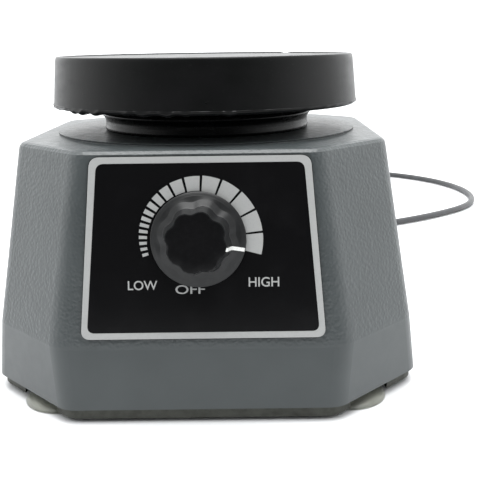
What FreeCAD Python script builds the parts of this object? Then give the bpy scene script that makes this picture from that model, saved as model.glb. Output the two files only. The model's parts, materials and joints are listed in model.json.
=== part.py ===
import FreeCAD, Part
import math
import os
import Sketcher

# A bench vortex mixer: an eight-sided tapered housing with a speed dial, and a round rubber platform that a
# motor drives round a small circle.  Millimetres.  Z = 0 is the table, +Z is up and the dial faces -Y.  Every
# piece is drawn about the motor's axis, and at the end all are moved by axis_y, which puts the origin on the
# table at the middle of the mixer without its lead.

doc = FreeCAD.newDocument("vortex_mixer")
sheet = doc.addObject("Spreadsheet::Sheet", "Sizes")

SIZES = {
    # housing: half widths across the flats, and how much each corner is cut back, at three heights
    "bottom_z": 4.2, "bottom_half": 66.1, "bottom_corner": 26.8,
    "kink_z": 22.3, "kink_half": 63.7, "kink_corner": 22.7,
    "deck_z": 76.6, "deck_half": 55.5, "deck_corner": 22.3,
    "wall": 3.0, "deck_wall": 3.5, "corner_radius": 8.0, "deck_edge": 2.2,
    "deck_boss_radius": 49.5, "deck_boss_height": 0.6, "deck_hole": 30.5,
    "base_boss_radius": 4.2, "base_boss_height": 15.8,
    # front face: the panel's own plane leans back by this angle
    "lean": 8.5874, "knob_z": 52.4,
    "panel_top_half": 30.4, "panel_bottom_half": 34.5, "panel_length": 51.0, "panel_thick": 0.8,
    "panel_shift": 0.8, "panel_rise": 22.9, "panel_radius": 2.8, "bushing_radius": 3.6,
    # knob, and the potentiometer that it turns
    "knob_gap": 0.7, "skirt_radius": 13.2, "skirt_edge": 0.9, "grip_radius": 9.6, "grip_foot": 4.2,
    "grip_top": 8.6, "knob_height": 9.9, "knob_socket": 7.6, "socket_depth": 3.6,
    "flute_radius": 2.4, "flute_depth": 0.9, "flutes": 8, "flute_start": 7.8,
    "cap_radius": 7.0, "cap_thick": 0.8, "pot_shaft_radius": 3.0,
    "pot_radius": 8.5, "pot_depth": 9.0, "pot_bushing": 3.0, "pot_nut": 5.2, "pot_nut_thick": 2.2,
    "pot_lug_back": 6.0, "pot_lug_half": 6.0, "pot_lug_end": 12.5, "pot_lug_thick": 1.0,
    # base plate, its screws and the feet
    "base_thick": 3.2, "base_web": 1.3, "base_inset": 1.2, "foot_recess": 12.2, "screw_recess": 3.4,
    "base_screw_x": 28.0, "base_screw_y": 59.0, "base_screw_head": 2.9, "base_screw_head_height": 1.9,
    "base_screw_radius": 1.5, "base_screw_length": 13.4,
    "vent_start": 9.0, "vent_end": 30.0, "vent_half": 2.0, "vents": 8,
    "foot_x": 43.6, "foot_y": 48.0, "foot_radius": 11.3, "foot_stem": 2.9, "foot_hollow": 1.5,
    "foot_edge": 1.4, "foot_barb": 3.0,
    # boot
    "boot_drum": 34.0, "boot_bead": 1.0, "boot_neck": 33.2, "boot_wall": 3.2, "boot_inner": 26.5,
    "boot_top": 88.0, "boot_foot": 71.6, "boot_foot_radius": 33.0,
    # platform
    "orbit": 2.0, "cap_bottom_z": 85.3, "cap_top_z": 101.0, "cap_bottom_radius": 50.0, "cap_top_radius": 48.5,
    "cap_skin": 3.2, "cap_lip_radius": 42.0, "cap_lip": 1.7, "plate_radius": 46.8, "plate_rim": 3.3,
    "plate_web": 3.6, "hub_radius": 15.0, "hub_shoulder": 8.2, "hub_z": 79.9, "ribs": 6, "rib_thick": 2.4,
    # ball bearings on the crank pin
    "bearing_outer": 11.0, "bearing_bore": 4.0, "bearing_width": 7.0, "bearing_z": 80.2,
    "race_radius": 7.5, "groove_radius": 2.03, "ball_radius": 1.98, "inner_ring": 6.1, "outer_ring": 8.9,
    "washer_radius": 5.8, "washer_thick": 0.9, "pin_screw_radius": 1.5, "pin_screw_length": 9.5,
    "pin_screw_head": 3.0, "pin_screw_head_height": 2.0,
    # drive
    "shaft_radius": 3.0, "shaft_bottom": 12.0, "shaft_top": 75.5, "crank_radius": 11.0, "crank_z": 64.2,
    "crank_top": 79.4, "set_screw_z": 73.2, "set_screw_radius": 1.57, "set_screw_length": 6.5,
    "weight_radius": 22.0, "weight_z": 66.0, "weight_thick": 5.0, "weight_angle": 160.0, "weight_collar": 2.4,
    # motor
    "motor_plate_z": 59.0, "motor_plate_thick": 2.0, "motor_plate_half": 43.0, "motor_plate_corner": 4.0,
    "motor_plate_hole": 12.0, "boss_at": 36.0, "boss_radius": 5.0, "boss_tap": 2.05, "boss_tap_depth": 13.0,
    "grommet_radius": 6.5, "grommet_neck": 4.1, "grommet_bore": 2.1, "grommet_flange": 0.95,
    "plate_screw_head": 4.4, "plate_screw_head_height": 2.2, "plate_screw_radius": 2.0,
    "plate_screw_length": 14.0,
    "core_z": 30.0, "core_height": 18.0, "core_half": 30.0, "core_front": -20.0, "core_back": 40.0,
    "core_bore": 14.2, "rotor_radius": 13.9, "window_half": 16.0, "window_front": 19.0, "window_back": 30.0,
    "bobbin_half": 14.0, "bobbin_flange": 1.2, "bobbin_rise": 8.5, "winding_rise": 7.3,
    "tie_x": 24.0, "tie_hole": 2.1, "tie_radius": 1.95, "tie_length": 46.0, "tie_head": 3.6,
    "tie_head_height": 2.6, "tie_nut": 4.0, "bracket_half": 9.0, "bracket_thick": 3.0, "bracket_leg": 8.0,
    "bracket_inner": 18.5, "bracket_boss": 9.0, "bracket_boss_height": 9.0,
    "sleeve_radius": 6.0, "sleeve_length": 7.0,
    "fan_radius": 21.0, "fan_z": 12.4, "fan_hub": 7.0, "fan_hub_height": 4.4, "fan_blade_height": 3.2,
    "fan_blades": 7,
    # circuit board and what stands on it
    "board_half": 21.0, "board_front": -55.0, "board_depth": 28.0, "board_z": 12.0, "board_thick": 1.6,
    "board_corner": 3.0, "board_post": 2.6, "board_hole": 1.6, "triac_x": 2.5, "triac_y": -34.0,
    "triac_width": 10.0, "triac_thick": 4.4, "triac_height": 9.0, "triac_lift": 5.0, "tab_thick": 1.3,
    "tab_height": 15.0, "sink_width": 14.4, "sink_height": 18.0, "sink_back": 1.4, "fin_thick": 1.2,
    "fin_depth": 3.6, "fins": 5, "choke_x": -8.0, "choke_y": -33.5, "choke_radius": 6.0, "choke_bore": 2.4,
    "choke_height": 7.0, "fuse_x": -15.0, "fuse_y": -42.5, "fuse_radius": 2.6, "fuse_length": 14.0,
    # power lead
    "cord_x": 12.0, "cord_z": 12.5, "cord_radius": 1.8, "relief_radius": 4.6, "relief_hole": 3.9,
    "relief_end": 86.0, "relief_start": 54.0, "wire_radius": 0.8,
    # coil of the lead's spare length, and the plug beside it
    "coil_x": 52.0, "coil_y": 326.0, "coil_radius": 20.0, "coil_across": 3, "coil_layers": 4,
    "plug_rear": 290.0, "plug_length": 36.0, "plug_thick": 13.8, "plug_half": 13.0, "plug_rear_half": 6.5,
    "pin_radius": 2.0, "pin_length": 19.0, "pin_apart": 18.6,
    # the motor's axis stands this far from the middle of the footprint, which is the origin
    "axis_y": -7.2,
}
for row, (alias, number) in enumerate(SIZES.items(), start=1):
    sheet.set(f"A{row}", alias.replace("_", " "))
    sheet.set(f"B{row}", str(number))
    sheet.setAlias(f"B{row}", alias)
doc.recompute()

NODES = []


# ---- helpers ---------------------------------------------------------------------------------------------

def named(text):
    """An expression in which the sheet's aliases are written out in full, as Sizes.alias."""
    words = str(text).replace("(", " ( ").replace(")", " ) ").split()
    return " ".join("Sizes." + word if word in SIZES else word for word in words)


def number(text):
    """The value that an expression has now."""
    return float(sheet.evalExpression(named(text)))


def bind(item, prop, text):
    """Set a property, and tie it to the sheet."""
    item.setExpression(prop, named(text))


def keep(item, label):
    """Mark an object as a sub-part, to be written under this label."""
    item.Label = label
    NODES.append(item)
    return item


def place(item, at, axis=None, angle=0):
    """Put an object at a point whose three coordinates are expressions, turned about an axis."""
    if axis:
        turn = FreeCAD.Rotation(FreeCAD.Vector(*axis), number(angle))
        item.Placement = FreeCAD.Placement(FreeCAD.Vector(), turn)
        bind(item, "Placement.Rotation.Angle", angle)
    for letter, text in zip("xyz", at):
        bind(item, f"Placement.Base.{letter}", text)
    return item


def new_body(label):
    return keep(doc.addObject("PartDesign::Body", label), label)


def new_sketch(body, name, role="XY_Plane", height=0):
    """A sketch on one of its own body's origin planes, moved along that plane's normal."""
    sketch = body.newObject("Sketcher::SketchObject", f"{body.Name}_{name}")
    plane = [f for f in body.Origin.OriginFeatures if f.Role == role][0]
    sketch.AttachmentSupport = [(plane, "")]
    sketch.MapMode = "FlatFace"
    bind(sketch, "AttachmentOffset.Base.z", height)
    return sketch


def pin_point(sketch, geometry, end, x, y):
    """Tie one end of a line or arc, or a circle's centre (end 3), to expressions for its x and y."""
    for kind, text, axis in (("DistanceX", x, -2), ("DistanceY", y, -1)):
        value = number(text)
        if abs(value) < 1e-9:
            sketch.addConstraint(Sketcher.Constraint("PointOnObject", geometry, end, axis))
        elif value > 0:
            index = sketch.addConstraint(Sketcher.Constraint(kind, -1, 1, geometry, end, value))
            bind(sketch, f"Constraints[{index}]", text)
        else:
            index = sketch.addConstraint(Sketcher.Constraint(kind, geometry, end, -1, 1, -value))
            bind(sketch, f"Constraints[{index}]", f"-1 * ( {text} )")


def outline(sketch, points):
    """A closed run of straight lines through points given as pairs of expressions."""
    spots = [FreeCAD.Vector(number(x), number(y), 0) for x, y in points]
    first = sketch.GeometryCount
    count = len(points)
    for i in range(count):
        sketch.addGeometry(Part.LineSegment(spots[i], spots[(i + 1) % count]), False)
    for i in range(count):
        sketch.addConstraint(Sketcher.Constraint("Coincident", first + i, 2, first + (i + 1) % count, 1))
    for i, (x, y) in enumerate(points):
        pin_point(sketch, first + i, 1, x, y)


def rounded_outline(sketch, corners, radius):
    """A closed outline whose corners are arcs of one radius, each tangent to its two sides."""
    spots = [FreeCAD.Vector(number(x), number(y), 0) for x, y in corners]
    count = len(corners)
    ends = []
    for i, (x, y) in enumerate(corners):
        back = (spots[i - 1] - spots[i]).normalize()
        ahead = (spots[(i + 1) % count] - spots[i]).normalize()
        reach = 1 / math.tan(back.getAngle(ahead) / 2)
        for side in (back, ahead):
            ends.append((f"{x} + {reach * side.x:.6f} * {radius}",
                         f"{y} + {reach * side.y:.6f} * {radius}"))
    points = [FreeCAD.Vector(number(x), number(y), 0) for x, y in ends]
    for i in range(count):
        start, end = points[2 * i], points[2 * i + 1]
        after = points[(2 * i + 2) % (2 * count)]
        back = (spots[i - 1] - spots[i]).normalize()
        ahead = (spots[(i + 1) % count] - spots[i]).normalize()
        inward = (back + ahead).normalize()
        middle = spots[i] + inward * (number(radius) / math.sin(back.getAngle(ahead) / 2) - number(radius))
        arc = sketch.addGeometry(Part.Arc(start, middle, end), False)
        line = sketch.addGeometry(Part.LineSegment(end, after), False)
        counter_clockwise = (middle - start).cross(end - middle).z > 0
        first_end, last_end = (1, 2) if counter_clockwise else (2, 1)
        pin_point(sketch, arc, first_end, *ends[2 * i])
        pin_point(sketch, line, 1, *ends[2 * i + 1])
        pin_point(sketch, line, 2, *ends[(2 * i + 2) % (2 * count)])
        sketch.addConstraint(Sketcher.Constraint("Coincident", arc, last_end, line, 1))
        index = sketch.addConstraint(Sketcher.Constraint("Radius", arc, number(radius)))
        bind(sketch, f"Constraints[{index}]", radius)


def rectangle(left, right, front, back):
    return [(left, front), (right, front), (right, back), (left, back)]


def circle(sketch, x, y, radius):
    centre = FreeCAD.Vector(number(x), number(y), 0)
    index = sketch.addGeometry(Part.Circle(centre, FreeCAD.Vector(0, 0, 1), number(radius)), False)
    pin_point(sketch, index, 3, x, y)
    size = sketch.addConstraint(Sketcher.Constraint("Radius", index, number(radius)))
    bind(sketch, f"Constraints[{size}]", radius)


def pad(body, sketch, length, reverse=False):
    feature = body.newObject("PartDesign::Pad", f"{sketch.Name}_pad")
    feature.Profile = sketch
    feature.Reversed = reverse
    bind(feature, "Length", length)
    return feature


def pocket(body, sketch, length, reverse=False):
    """Cut a sketch into a body, against its normal unless reversed, and make sure that it cut something."""
    doc.recompute()
    before = body.Shape.Volume
    feature = body.newObject("PartDesign::Pocket", f"{sketch.Name}_pocket")
    feature.Profile = sketch
    feature.Reversed = reverse
    bind(feature, "Length", length)
    doc.recompute()
    if not body.Shape.Volume < before - 0.01:
        raise RuntimeError(f"{feature.Name} cut nothing")
    return feature


def polar(body, feature, times, whole=360):
    """Repeat a feature about the body's Z axis."""
    pattern = body.newObject("PartDesign::PolarPattern", f"{feature.Name}_ring")
    pattern.Originals = [feature]
    pattern.Axis = ([f for f in body.Origin.OriginFeatures if f.Role == "Z_Axis"][0], [""])
    pattern.Angle = whole
    bind(pattern, "Occurrences", times)
    body.Tip = pattern
    return pattern


def turned(label, points, at=("0", "0", "0"), axis=None, angle=0):
    """A solid of revolution about Z, from a closed outline of (radius, height) pairs."""
    body = new_body(label)
    sketch = new_sketch(body, "profile", "XZ_Plane")
    outline(sketch, points)
    feature = body.newObject("PartDesign::Revolution", f"{label}_turn")
    feature.Profile = sketch
    feature.ReferenceAxis = (sketch, ["V_Axis"])
    feature.Angle = 360
    place(body, at, axis, angle)
    return body


def ring(inner, outer, low, high):
    """The outline of a plain ring or, with inner 0, of a plain cylinder."""
    return [(inner, low), (outer, low), (outer, high), (inner, high)]


def cylinder(name, radius, length, at, axis=None, angle=0):
    item = doc.addObject("Part::Cylinder", name)
    bind(item, "Radius", radius)
    bind(item, "Height", length)
    return place(item, at, axis, angle)


def block(name, size, at):
    item = doc.addObject("Part::Box", name)
    for prop, text in zip(("Length", "Width", "Height"), size):
        bind(item, prop, text)
    return place(item, at)


def fused(name, items):
    item = doc.addObject("Part::MultiFuse", name)
    item.Shapes = items
    return item


def cut(name, base, tool):
    item = doc.addObject("Part::Cut", name)
    item.Base, item.Tool = base, tool
    return item


def group(label, items):
    """One node of several separate solids."""
    item = doc.addObject("Part::Compound", label)
    item.Links = items
    return keep(item, label)


def screw(name, x, y, head_z, head_radius, head_height, radius, length, up=True):
    """A pan-head screw along Z.  Its head starts at head_z; its shank goes up, or down, from the head."""
    head = cylinder(f"{name}_head", head_radius, head_height, (x, y, head_z))
    shank_z = f"{head_z} + {head_height} - 0.5" if up else f"{head_z} - {length} + 0.5"
    shank = cylinder(f"{name}_shank", radius, length, (x, y, shank_z))
    return fused(name, [head, shank])


def both_signs(x, y):
    """The four places at plus and minus x and y, as expressions."""
    return [(f"{a} * {x}", f"{b} * {y}") for a in (-1, 1) for b in (-1, 1)]


EIGHT = ((1, -1, 0), (1, -1, 1), (1, 1, 1), (1, 1, 0), (-1, 1, 0), (-1, 1, 1), (-1, -1, 1), (-1, -1, 0))


def eight_corners(half, corner):
    """The corners, counter-clockwise from the front, of a square with its corners cut back."""
    spots = []
    for sx, sy, second in EIGHT:
        x = half if second else f"( {half} - {corner} )"
        y = f"( {half} - {corner} )" if second else half
        spots.append((f"{sx} * {x}", f"{sy} * {y}"))
    return spots


# ---- housing and what closes it --------------------------------------------------------------------------

def loft(body, kind, sections):
    feature = body.newObject(f"PartDesign::{kind}", f"{body.Name}_{kind}")
    feature.Profile = sections[0]
    feature.Sections = sections[1:]
    feature.Ruled = True
    return feature


# how much less a corner is cut back when its outline is drawn in by 1 mm all round
CORNER_SHARE = round(2 - math.sqrt(2), 3)
# how fast the tapered walls widen downwards, and where the dial's axis meets the front face
SLOPE = "( ( kink_half - deck_half ) / ( deck_z - kink_z ) )"
FACE_Y = f"-1 * ( deck_half + ( deck_z - knob_z ) * {SLOPE} )"


def housing():
    body = new_body("housing")
    outer, inner = [], []
    # each level's name, its height outside and inside, and how far below the level's own height those are
    levels = (("bottom", "bottom_z", "bottom_z - 1", "0", "0"), ("kink", "kink_z", "kink_z", "0", "0"),
              ("deck", "deck_z - deck_edge", "deck_z - deck_wall", "deck_edge", "deck_wall"))
    for level, z, _, drop, _ in levels:
        sketch = new_sketch(body, f"outer_{level}", height=z)
        half = f"( {level}_half + {drop} * {SLOPE} )"
        rounded_outline(sketch, eight_corners(half, f"{level}_corner"), "corner_radius")
        outer.append(sketch)
    for angle in (30, 60, 90):
        inset = f"( deck_edge * {1 - math.cos(math.radians(angle)):.5f} )"
        rise = f"deck_z - deck_edge * {1 - math.sin(math.radians(angle)):.5f}"
        sketch = new_sketch(body, f"outer_edge_{angle}", height=rise)
        half = f"( deck_half + deck_edge * {SLOPE} - {inset} )"
        corners = eight_corners(half, f"( deck_corner - {CORNER_SHARE} * {inset} )")
        rounded_outline(sketch, corners, f"( corner_radius - {inset} )")
        outer.append(sketch)
    loft(body, "AdditiveLoft", outer)
    boss = new_sketch(body, "deck_boss", height="deck_z - 1")
    circle(boss, "0", "0", "deck_boss_radius")
    pad(body, boss, "deck_boss_height + 1")
    for level, _, inner_z, _, inner_drop in levels:
        sketch = new_sketch(body, f"inner_{level}", height=inner_z)
        half = f"( {level}_half + {inner_drop} * {SLOPE} - wall )"
        corners = eight_corners(half, f"( {level}_corner - {CORNER_SHARE} * wall )")
        rounded_outline(sketch, corners, "( corner_radius - wall )")
        inner.append(sketch)
    loft(body, "SubtractiveLoft", inner)
    motor_bosses = new_sketch(body, "motor_bosses", height="motor_plate_z + motor_plate_thick + 1")
    for x, y in both_signs("boss_at", "boss_at"):
        circle(motor_bosses, x, y, "boss_radius")
    pad(body, motor_bosses, "deck_z - deck_wall - motor_plate_z - motor_plate_thick")
    base_bosses = new_sketch(body, "base_bosses", height="bottom_z")
    for x, y in both_signs("base_screw_x", "base_screw_y"):
        circle(base_bosses, x, y, "base_boss_radius")
    pad(body, base_bosses, "base_boss_height")
    tapped = new_sketch(body, "tapped_holes", height="motor_plate_z")
    for x, y in both_signs("boss_at", "boss_at"):
        circle(tapped, x, y, "boss_tap")
    pocket(body, tapped, "boss_tap_depth", reverse=True)
    tapped = new_sketch(body, "base_screw_holes", height="bottom_z - 1")
    for x, y in both_signs("base_screw_x", "base_screw_y"):
        circle(tapped, x, y, "base_screw_radius + 0.05")
    pocket(body, tapped, "base_screw_length + 1.1", reverse=True)
    opening = new_sketch(body, "deck_hole", height="deck_z + 2")
    circle(opening, "0", "0", "deck_hole")
    pocket(body, opening, "deck_wall + 4")
    dial_hole = new_sketch(body, "dial_hole")
    dial_hole.AttachmentOffset = FreeCAD.Placement(
        FreeCAD.Vector(0, number(FACE_Y), number("knob_z")),
        FreeCAD.Rotation(FreeCAD.Vector(1, 0, 0), 90 - number("lean")))
    bind(dial_hole, "AttachmentOffset.Base.y", FACE_Y)
    bind(dial_hole, "AttachmentOffset.Base.z", "knob_z")
    bind(dial_hole, "AttachmentOffset.Rotation.Angle", "90 - lean")
    circle(dial_hole, "0", "0", "bushing_radius + 0.2")
    pocket(body, dial_hole, "wall + 3")
    cord_hole = new_sketch(body, "cord_hole", "XZ_Plane", "-1 * bottom_half - 1")
    circle(cord_hole, "cord_x", "cord_z", "relief_hole + 0.1")
    pocket(body, cord_hole, "wall + 6", reverse=True)
    return body


def on_face(item):
    """Put an object whose own Z is the dial's axis, and whose own origin is on the housing's front face."""
    return place(item, ("0", FACE_Y, "knob_z"), (1, 0, 0), "90 - lean")


def control_panel():
    body = new_body("control_panel")
    sketch = new_sketch(body, "plate")
    low = "( panel_rise - panel_length )"
    corners = [("panel_shift - panel_bottom_half", low), ("panel_shift + panel_bottom_half", low),
               ("panel_shift + panel_top_half", "panel_rise"), ("panel_shift - panel_top_half", "panel_rise")]
    rounded_outline(sketch, corners, "panel_radius")
    circle(sketch, "0", "0", "bushing_radius + 0.2")
    pad(body, sketch, "panel_thick")
    on_face(body)


def base_plate():
    """A thick plate that closes the housing, recessed from below for the feet and the screws' heads."""
    body = new_body("base_plate")
    sketch = new_sketch(body, "sheet", height="bottom_z - base_thick")
    rounded_outline(sketch, eight_corners("( bottom_half - base_inset )", "bottom_corner"), "corner_radius")
    for x, y in both_signs("foot_x", "foot_y"):
        circle(sketch, x, y, "foot_stem + 0.2")
    for x, y in both_signs("base_screw_x", "base_screw_y"):
        circle(sketch, x, y, "base_screw_radius + 0.2")
    pad(body, sketch, "base_thick")
    recess = new_sketch(body, "recess", height="bottom_z - base_thick - 1")
    for x, y in both_signs("foot_x", "foot_y"):
        circle(recess, x, y, "foot_recess")
    for x, y in both_signs("base_screw_x", "base_screw_y"):
        circle(recess, x, y, "screw_recess")
    pocket(body, recess, "base_thick - base_web + 1", reverse=True)
    vent = new_sketch(body, "vent", height="bottom_z + 1")
    outline(vent, rectangle("vent_start", "vent_end", "-1 * vent_half", "vent_half"))
    first = pocket(body, vent, "base_thick + 2")
    polar(body, first, "vents")
    screws = []
    for i, (x, y) in enumerate(both_signs("base_screw_x", "base_screw_y")):
        head_z = "bottom_z - base_web - base_screw_head_height"
        screws.append(screw(f"base_screw_{i}", x, y, head_z, "base_screw_head", "base_screw_head_height",
                            "base_screw_radius", "base_screw_length"))
    group("base_screws", screws)


def feet():
    """Four discs with a hollow underside; each one's stem goes up through the base plate to a barb."""
    top = "bottom_z - base_web"
    profile = [("0", "foot_hollow"), ("foot_radius - 4.3", "foot_hollow - 0.4"), ("foot_radius - 0.9", "0"),
               ("foot_radius", "0"), ("foot_radius", "foot_edge"), ("foot_radius - 1.1", top),
               ("foot_stem", top), ("foot_stem", "bottom_z"), ("foot_stem + 1.2", "bottom_z + 0.2"),
               ("foot_stem + 0.3", "bottom_z + foot_barb"), ("0", "bottom_z + foot_barb")]
    for side, sx in (("left", -1), ("right", 1)):
        for end, sy in (("front", -1), ("back", 1)):
            turned(f"foot_{end}_{side}", profile, (f"{sx} * foot_x", f"{sy} * foot_y", "0"))


def boot():
    """A drum with a rolled bead and a thinner neck above it, grooved below for the edge of the deck's opening."""
    deck = "( deck_z + deck_boss_height )"
    under = "( deck_z - deck_wall - 0.1 )"
    bore = "( boot_neck - boot_wall )"
    turned("rubber_boot", [
        ("boot_inner", "boot_foot"), ("boot_foot_radius", "boot_foot"), ("boot_foot_radius", under),
        ("deck_hole - 0.1", under), ("deck_hole - 0.1", deck), ("boot_drum", deck),
        ("boot_drum", f"{deck} + 4"), ("boot_drum + boot_bead", f"{deck} + 4.9"),
        ("boot_drum + boot_bead", f"{deck} + 5.5"), ("boot_neck", f"{deck} + 6.6"), ("boot_neck", "boot_top"),
        (bore, "boot_top"), (bore, f"{deck} + 1.6"), ("boot_inner", f"{deck} + 1.6")])


# ---- dial ------------------------------------------------------------------------------------------------

def knob():
    """A dished skirt and a drafted grip with scallops, an inset cap, and the shaft that the knob sits on."""
    low = "( panel_thick + knob_gap )"
    top = f"( {low} + knob_height )"
    recess = f"( {top} - cap_thick )"
    body = turned("knob", [
        ("pot_shaft_radius", f"{low} + socket_depth"), ("knob_socket", f"{low} + socket_depth"),
        ("knob_socket", low), ("skirt_radius", low), ("skirt_radius", f"{low} + skirt_edge"),
        ("grip_radius + 0.8", "grip_foot"), ("grip_radius", "grip_foot + 0.8"),
        ("grip_top", f"{top} - 0.4"), ("grip_top - 0.4", top), ("cap_radius", top), ("cap_radius", recess),
        ("pot_shaft_radius", recess)])
    on_face(body)
    flute = new_sketch(body, "flute", height="grip_foot + 0.4")
    start = math.radians(number("flute_start"))
    reach = "( grip_top + flute_radius - flute_depth )"
    circle(flute, f"{math.cos(start):.5f} * {reach}", f"{math.sin(start):.5f} * {reach}", "flute_radius")
    first = pocket(body, flute, "knob_height", reverse=True)
    polar(body, first, "flutes")
    on_face(turned("knob_cap", ring("0", "cap_radius - 0.02", recess, top)))
    on_face(turned("pot_shaft", ring("0", "pot_shaft_radius - 0.02", "-1 * wall - 1", f"{recess} - 0.1")))


def potentiometer():
    back = "( -1 * wall - 0.1 )"
    front = "( panel_thick + pot_bushing )"
    body = turned("potentiometer", [
        ("0", f"{back} - pot_depth"), ("pot_radius", f"{back} - pot_depth"), ("pot_radius", back),
        ("bushing_radius", back), ("bushing_radius", front), ("0", front)])
    on_face(body)
    bore = new_sketch(body, "shaft_bore", height=f"{front} + 1")
    circle(bore, "0", "0", "pot_shaft_radius + 0.04")
    pocket(body, bore, f"{front} + wall + 2.4")
    lugs = new_sketch(body, "lugs", height=f"{back} - pot_lug_back")
    outline(lugs, rectangle("-1 * pot_lug_half", "pot_lug_half", "-1 * pot_lug_end", "-1 * pot_radius + 1.5"))
    pad(body, lugs, "pot_lug_thick")
    nut = new_body("potentiometer_nut")
    hexagon = new_sketch(nut, "hexagon", height="panel_thick")
    sixths = [math.radians(60 * i) for i in range(6)]
    outline(hexagon, [(f"{math.cos(a):.5f} * pot_nut", f"{math.sin(a):.5f} * pot_nut") for a in sixths])
    circle(hexagon, "0", "0", "bushing_radius + 0.02")
    pad(nut, hexagon, "pot_nut_thick")
    on_face(nut)


# ---- motor -----------------------------------------------------------------------------------------------

def motor_plate():
    """The sheet that the motor hangs from, held under the deck by four screws through rubber grommets."""
    body = new_body("motor_plate")
    sketch = new_sketch(body, "sheet", height="motor_plate_z")
    corners = eight_corners("motor_plate_half", "motor_plate_corner")
    rounded_outline(sketch, corners, "motor_plate_corner / 2")
    circle(sketch, "0", "0", "motor_plate_hole")
    for x, y in both_signs("boss_at", "boss_at"):
        circle(sketch, x, y, "grommet_neck + 0.1")
    for side in (-1, 1):
        circle(sketch, f"{side} * tie_x", "0", "tie_hole + 0.1")
    pad(body, sketch, "motor_plate_thick")
    grommets, screws = [], []
    low = "( motor_plate_z - 1 )"
    high = "( motor_plate_z + motor_plate_thick + 0.05 )"
    for i, (x, y) in enumerate(both_signs("boss_at", "boss_at")):
        rubber = [cylinder(f"grommet_{i}_low", "grommet_radius", "grommet_flange", (x, y, low)),
                  cylinder(f"grommet_{i}_neck", "grommet_neck", "motor_plate_thick + 2", (x, y, low)),
                  cylinder(f"grommet_{i}_high", "grommet_radius", "grommet_flange", (x, y, high))]
        hole = cylinder(f"grommet_{i}_hole", "grommet_bore", "10", (x, y, "motor_plate_z - 4"))
        grommets.append(cut(f"grommet_{i}", fused(f"grommet_{i}_rubber", rubber), hole))
        screws.append(screw(f"plate_screw_{i}", x, y, f"{low} - plate_screw_head_height", "plate_screw_head",
                            "plate_screw_head_height", "plate_screw_radius", "plate_screw_length"))
    group("motor_grommets", grommets)
    group("motor_plate_screws", screws)


def motor_core():
    """A square stack of laminations with the rotor's bore, and a window for the coil on its back leg."""
    body = new_body("motor_core")
    sketch = new_sketch(body, "stack", height="core_z")
    outline(sketch, rectangle("-1 * core_half", "core_half", "core_front", "core_back"))
    outline(sketch, rectangle("-1 * window_half", "window_half", "window_front", "window_back"))
    circle(sketch, "0", "0", "core_bore")
    for side in (-1, 1):
        circle(sketch, f"{side} * tie_x", "0", "tie_hole")
    pad(body, sketch, "core_height")


def round_leg(name, half_length, rise):
    """A block round the core's back leg, standing out from it by the same rise on all four sides."""
    leg = "( core_back - window_back )"
    size = (f"2 * {half_length}", f"{leg} + 2 * {rise}", f"core_height + 2 * {rise}")
    return block(name, size, (f"-1 * {half_length}", f"window_back - {rise}", f"core_z - {rise}"))


def coil():
    """The bobbin and its winding, both round the core's back leg."""
    tube_part = round_leg("bobbin_tube", "bobbin_half", "1")
    ends = round_leg("bobbin_ends", "bobbin_half", "bobbin_rise")
    between = round_leg("bobbin_between", "( bobbin_half - bobbin_flange )", "( bobbin_rise + 1 )")
    flanges = cut("bobbin_flanges", ends, between)
    opening = round_leg("coil_opening", "( bobbin_half + 1 )", "0.1")
    keep(cut("coil_bobbin", fused("bobbin_solid", [tube_part, flanges]), opening), "coil_bobbin")
    turns = round_leg("winding_outside", "( bobbin_half - bobbin_flange - 0.1 )", "winding_rise")
    hollow = round_leg("winding_inside", "( bobbin_half + 1 )", "1.1")
    keep(cut("coil_winding", turns, hollow), "coil_winding")


def bracket(label, leg_z, bridge_z, boss_z):
    """A bridge across the rotor on two legs, with a boss for the sleeve bearing."""
    body = new_body(label)
    bridge = new_sketch(body, "bridge", height=bridge_z)
    outline(bridge, rectangle("-1 * core_half", "core_half", "-1 * bracket_half", "bracket_half"))
    pad(body, bridge, "bracket_thick")
    for name, inner, outer in (("left", "-1 * bracket_inner", "-1 * core_half"),
                               ("right", "bracket_inner", "core_half")):
        leg = new_sketch(body, f"leg_{name}", height=leg_z)
        outline(leg, rectangle(inner, outer, "-1 * bracket_half", "bracket_half"))
        pad(body, leg, "bracket_leg")
    boss = new_sketch(body, "boss", height=boss_z)
    circle(boss, "0", "0", "bracket_boss")
    pad(body, boss, "bracket_boss_height")
    bore = new_sketch(body, "bore", height=f"{boss_z} - 5")
    circle(bore, "0", "0", "sleeve_radius")
    for side in (-1, 1):
        circle(bore, f"{side} * tie_x", "0", "tie_hole")
    pocket(body, bore, "bracket_boss_height + 9", reverse=True)
    return body


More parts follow.
